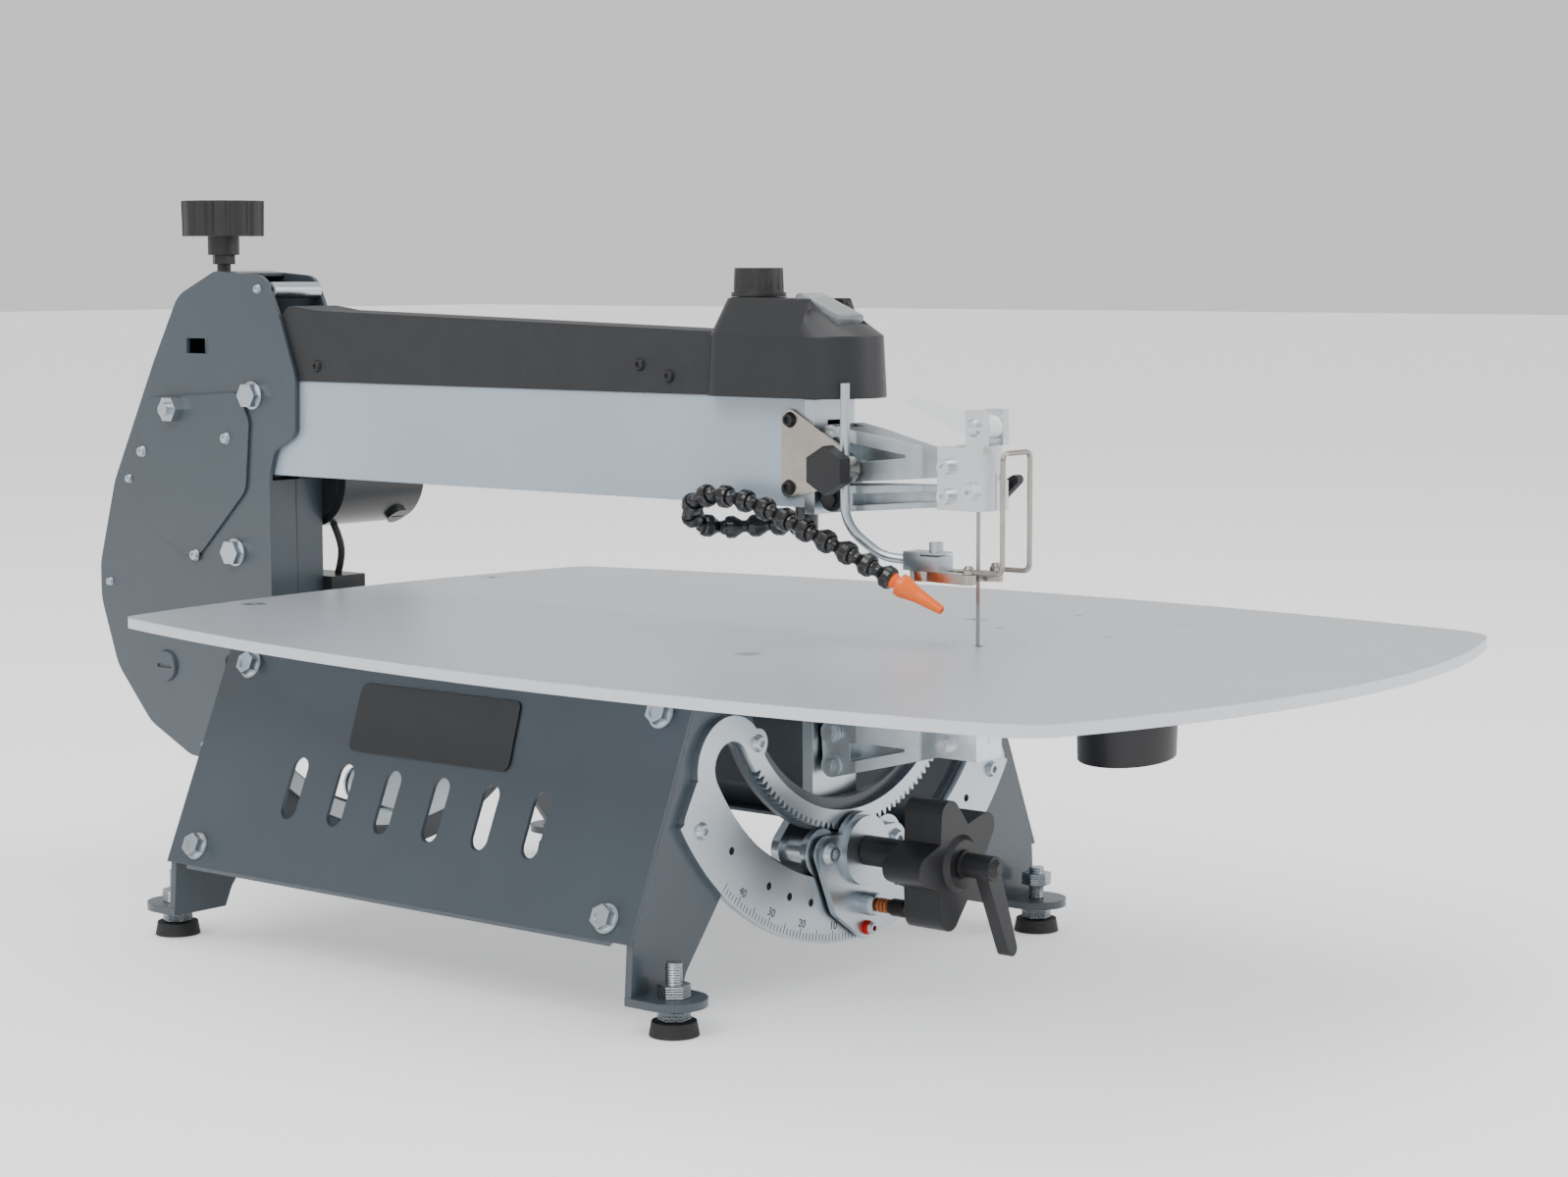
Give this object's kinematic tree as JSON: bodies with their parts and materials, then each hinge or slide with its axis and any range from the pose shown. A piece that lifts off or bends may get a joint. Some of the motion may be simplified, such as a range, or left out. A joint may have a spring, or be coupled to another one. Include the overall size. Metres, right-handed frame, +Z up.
{
  "type": "scroll saw",
  "caption": "Bench scroll saw with parallel link arms, tilting head on a toothed trunnion, bowed flat table, air hose and slotted folded base.",
  "frame": {"origin": "on the floor under the centre of the outline", "axes": "+X to the user's right, +Y to the back, +Z up"},
  "size_m": [0.4872, 0.9287, 0.4302],
  "materials": {
    "slate_paint": "satin powder coat",
    "grey_paint": "satin paint",
    "zinc": "bright zinc plate",
    "table_aluminium": "ground",
    "black_steel": "satin",
    "rubber": "matt",
    "black_plastic": "matt",
    "hose_plastic": "gloss",
    "orange_plastic": "gloss",
    "white_plastic": "translucent",
    "steel": "machined",
    "nickel": "nickel plate",
    "die_cast": "die cast",
    "milled": "milled",
    "motor_black": "satin"
  },
  "bodies": {
    "base": {"front_leg_frame": "slate_paint", "rear_leg_frame": "slate_paint", "right_side_panel": "slate_paint", "left_side_panel": "slate_paint", "frame_bolts": "zinc", "nameplate": "black_steel", "foot_pads": "rubber", "levelling_studs": "zinc", "front_trunnion": "zinc", "rear_trunnion": "zinc", "table": "table_aluminium", "blade_insert": "table_aluminium", "storage_cup": "black_plastic"},
    "head": {"column_left": "slate_paint", "column_right": "slate_paint", "column_covers": "slate_paint", "head_fasteners": "zinc", "lower_arm": "slate_paint", "lower_arm_bracket": "zinc", "tilt_carriers": "zinc", "pointer_plate": "zinc", "motor_housing": "motor_black", "control_box": "black_steel", "motor_lead": "rubber"},
    "tilt_drive": {"pinion_shaft": "steel", "tilt_knob": "black_plastic"},
    "clamp": {"clamp_lever": "black_plastic"},
    "plunger": {"index_plunger": "black_steel"},
    "rotor": {"motor_rotor": "steel"},
    "con_rod": {"connecting_rod": "zinc"},
    "rocker": {"rear_rocker": "zinc"},
    "lower_crank": {"lower_bell_crank": "die_cast"},
    "lower_bar": {"lower_link": "die_cast"},
    "lower_holder": {"lower_blade_holder": "milled", "blade": "steel"},
    "lower_screw": {"lower_thumb_screw": "black_plastic"},
    "lower_rod": {"lower_drive_rod": "steel"},
    "arm": {"upper_arm_beam": "grey_paint", "upper_arm_bracket": "zinc", "arm_cover": "black_plastic", "upper_arm_fasteners": "black_steel", "head_cover": "black_plastic", "switch_bezel": "black_plastic", "hold_down_mount": "nickel", "hose_base": "hose_plastic"},
    "upper_crank": {"upper_bell_crank": "die_cast"},
    "upper_bar": {"upper_link": "die_cast"},
    "upper_holder": {"upper_blade_holder": "milled"},
    "upper_screw": {"upper_thumb_screw": "black_plastic"},
    "cam": {"tension_lever": "white_plastic"},
    "upper_rod": {"upper_drive_rod": "steel"},
    "power_key": {"switch_rocker": "black_plastic"},
    "dial": {"speed_knob": "black_plastic"},
    "hold_rod": {"hold_down_rod": "zinc", "blade_guard": "nickel"},
    "hold_knob": {"hold_down_knob": "black_plastic"},
    "hose_mid": {"hose_middle": "hose_plastic"},
    "hose_end": {"hose_tip": "hose_plastic", "air_nozzle": "orange_plastic"},
    "rear_knob": {"tension_knob": "black_plastic"}
  },
  "joints": [
    {"name": "head_tilt", "type": "hinge", "parent": "base", "child": "head", "pos_m": [0, 0.02781, 0.18904], "axis": [0, 1, 0], "range_deg": [-30, 45]},
    {"name": "tilt_knob_turn", "type": "hinge", "parent": "head", "child": "tilt_drive", "pos_m": [0, -0.21143, 0.07116], "axis": [0, 1, 0], "range_deg": [-240, 360]},
    {"name": "clamp_lever_turn", "type": "hinge", "parent": "head", "child": "clamp", "pos_m": [0, -0.23413, 0.07116], "axis": [0, 1, 0], "range_deg": [-35, 35]},
    {"name": "plunger_pull", "type": "slide", "parent": "head", "child": "plunger", "axis": [0, -1, 0], "range_m": [0, 0.00349], "stiffness_N_per_m": 300},
    {"name": "motor_shaft", "type": "hinge", "parent": "head", "child": "rotor", "pos_m": [0.05239, 0.30722, 0.25321], "axis": [1, 0, 0], "continuous": true},
    {"name": "stroke", "type": "hinge", "parent": "head", "child": "lower_crank", "pos_m": [0, -0.14682, 0.13621], "axis": [1, 0, 0], "range_deg": [-6.3, 6.3]},
    {"name": "lower_link_swing", "type": "hinge", "parent": "head", "child": "lower_bar", "pos_m": [0, -0.14682, 0.15149], "axis": [1, 0, 0], "range_deg": [-6.3, 6.3]},
    {"name": "lower_holder_level", "type": "hinge", "parent": "lower_crank", "child": "lower_holder", "pos_m": [0, -0.22191, 0.13621], "axis": [1, 0, 0], "range_deg": [-6.3, 6.3]},
    {"name": "lower_rod_swing", "type": "hinge", "parent": "lower_crank", "child": "lower_rod", "pos_m": [0, -0.14682, 0.11831], "axis": [1, 0, 0], "range_deg": [-7.3, 7.3]},
    {"name": "rear_rocker_swing", "type": "hinge", "parent": "head", "child": "rocker", "pos_m": [0, 0.32843, 0.20816], "axis": [1, 0, 0], "range_deg": [-1.15, 1.15]},
    {"name": "connecting_rod_swing", "type": "hinge", "parent": "rocker", "child": "con_rod", "pos_m": [0.00917, 0.30722, 0.20816], "axis": [1, 0, 0], "range_deg": [-1.15, 1.15]},
    {"name": "arm_lift", "type": "hinge", "parent": "head", "child": "arm", "pos_m": [0, 0.30966, 0.30813], "axis": [-1, 0, 0], "range_deg": [0, 5]},
    {"name": "upper_crank_swing", "type": "hinge", "parent": "arm", "child": "upper_crank", "pos_m": [0, -0.14682, 0.27941], "axis": [1, 0, 0], "range_deg": [-6.3, 6.3]},
    {"name": "upper_link_swing", "type": "hinge", "parent": "arm", "child": "upper_bar", "pos_m": [0, -0.14682, 0.26369], "axis": [1, 0, 0], "range_deg": [-6.3, 6.3]},
    {"name": "upper_holder_level", "type": "hinge", "parent": "upper_crank", "child": "upper_holder", "pos_m": [0, -0.22191, 0.28377], "axis": [1, 0, 0], "range_deg": [-6.3, 6.3]},
    {"name": "upper_rod_swing", "type": "hinge", "parent": "upper_crank", "child": "upper_rod", "pos_m": [0, -0.14682, 0.29731], "axis": [1, 0, 0], "range_deg": [-7.3, 7.3]},
    {"name": "tension_cam", "type": "hinge", "parent": "upper_holder", "child": "cam", "pos_m": [0, -0.23937, 0.30473], "axis": [1, 0, 0], "range_deg": [0, 110]},
    {"name": "upper_thumb_screw_turn", "type": "hinge", "parent": "upper_holder", "child": "upper_screw", "pos_m": [0.01572, -0.23675, 0.27024], "axis": [1, 0, 0], "range_deg": [-180, 180]},
    {"name": "lower_thumb_screw_turn", "type": "hinge", "parent": "lower_holder", "child": "lower_screw", "pos_m": [0.01572, -0.23588, 0.1432], "axis": [1, 0, 0], "range_deg": [-180, 180]},
    {"name": "speed_dial", "type": "hinge", "parent": "arm", "child": "dial", "pos_m": [0, -0.08483, 0.37982], "axis": [0, 0, 1], "range_deg": [0, 300]},
    {"name": "power_switch", "type": "hinge", "parent": "arm", "child": "power_key", "pos_m": [0, -0.13285, 0.36192], "axis": [1, 0, 0], "range_deg": [-8, 8]},
    {"name": "hold_down_slide", "type": "slide", "parent": "arm", "child": "hold_rod", "axis": [0, 0, 1], "range_m": [-0.01659, 0.00437]},
    {"name": "hold_down_knob_turn", "type": "hinge", "parent": "arm", "child": "hold_knob", "pos_m": [-0.03493, -0.16271, 0.28098], "axis": [1, 0, 0], "range_deg": [-180, 180]},
    {"name": "hose_middle_bend", "type": "hinge", "parent": "arm", "child": "hose_mid", "pos_m": [-0.03318, -0.13372, 0.2519], "axis": [1, 0, 0], "range_deg": [-15, 2]},
    {"name": "hose_tip_bend", "type": "hinge", "parent": "hose_mid", "child": "hose_end", "pos_m": [-0.03204, -0.1752, 0.23601], "axis": [1, 0, 0], "range_deg": [-15, 2]},
    {"name": "tension_knob_turn", "type": "hinge", "parent": "head", "child": "rear_knob", "pos_m": [0, 0.36048, 0.41911], "axis": [0, 0, 1], "range_deg": [-180, 180]}
  ],
  "couplings": [
    {"joint": "tilt_knob_turn", "follows": "head_tilt", "ratio": 8},
    {"joint": "lower_link_swing", "follows": "stroke", "ratio": 1},
    {"joint": "lower_holder_level", "follows": "stroke", "ratio": -1},
    {"joint": "lower_rod_swing", "follows": "stroke", "ratio": -0.9932},
    {"joint": "rear_rocker_swing", "follows": "stroke", "ratio": 0.179},
    {"joint": "connecting_rod_swing", "follows": "stroke", "ratio": -0.179},
    {"joint": "upper_crank_swing", "follows": "stroke", "ratio": 1},
    {"joint": "upper_link_swing", "follows": "stroke", "ratio": 1},
    {"joint": "upper_holder_level", "follows": "stroke", "ratio": -1},
    {"joint": "upper_rod_swing", "follows": "stroke", "ratio": -1.0073}
  ]
}
